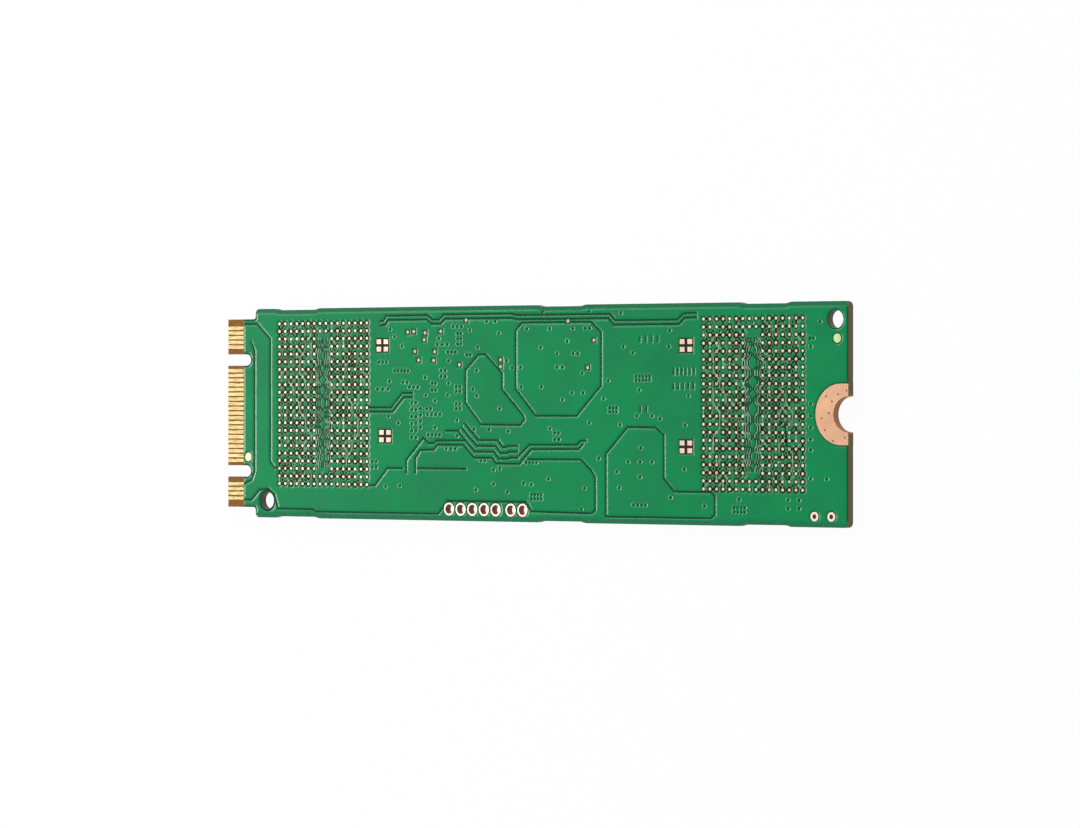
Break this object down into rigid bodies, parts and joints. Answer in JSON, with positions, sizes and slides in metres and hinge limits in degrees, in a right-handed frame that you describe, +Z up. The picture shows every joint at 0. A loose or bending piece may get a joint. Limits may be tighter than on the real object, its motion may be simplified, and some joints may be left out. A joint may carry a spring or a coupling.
{
  "type": "gumstick solid state drive",
  "caption": "Bare card drive with a twice-keyed gold contact edge, a half-round screw notch in a copper ring, empty land fields on one side and chips on the other.",
  "frame": {"origin": "on the plane that the drive lies on, below the middle of the card", "axes": "+X from the contact edge to the screw notch, +Z up out of the bare side, +Y towards the edge with the smaller group of contacts"},
  "size_m": [0.08, 0.022, 0.0021],
  "materials": {
    "laminate": "glass-epoxy laminate under clear green mask",
    "solder_mask": "glossy green solder mask over copper",
    "gold": "gold-plated contacts",
    "bare_copper": "bare copper",
    "pad_metal": "bare pad metal with a thin protective film",
    "fiducial_metal": "bright mark seen through clear mask",
    "moulding": "black moulding compound",
    "solder": "tin solder",
    "inductor_body": "pressed iron powder",
    "capacitor_body": "fired ceramic",
    "resistor_body": "glazed ceramic",
    "crystal_ceramic": "fired ceramic",
    "crystal_metal": "plated lid"
  },
  "bodies": {
    "root": {"circuit_board": "laminate", "ground_copper_bare_side": "solder_mask", "ground_copper_chip_side": "solder_mask", "signal_tracks_bare_side": "solder_mask", "contacts_bare_side": "gold", "contacts_chip_side": "gold", "screw_ring_bare_side": "bare_copper", "screw_ring_chip_side": "bare_copper", "flash_lands_left": "pad_metal", "flash_lands_right": "pad_metal", "probe_pads": "pad_metal", "test_pads": "pad_metal", "header_hole_plating": "pad_metal", "supply_hole_plating": "pad_metal", "fiducial_marks": "fiducial_metal", "flash_package_left": "moulding", "flash_package_right": "moulding", "controller_package": "moulding", "memory_package": "moulding", "power_chip": "moulding", "regulator_bodies": "moulding", "solder_pads_chip_side": "solder", "flash_balls_left": "solder", "flash_balls_right": "solder", "controller_balls": "solder", "memory_balls": "solder", "power_chip_leads": "solder", "regulator_leads": "solder", "inductor_terminals": "solder", "bulk_capacitor_terminals": "solder", "small_capacitor_terminals": "solder", "resistor_terminals": "solder", "inductor_bodies": "inductor_body", "bulk_capacitor_bodies": "capacitor_body", "small_capacitor_bodies": "capacitor_body", "resistor_bodies": "resistor_body", "crystal_base": "crystal_ceramic", "crystal_lid": "crystal_metal"}
  },
  "joints": []
}
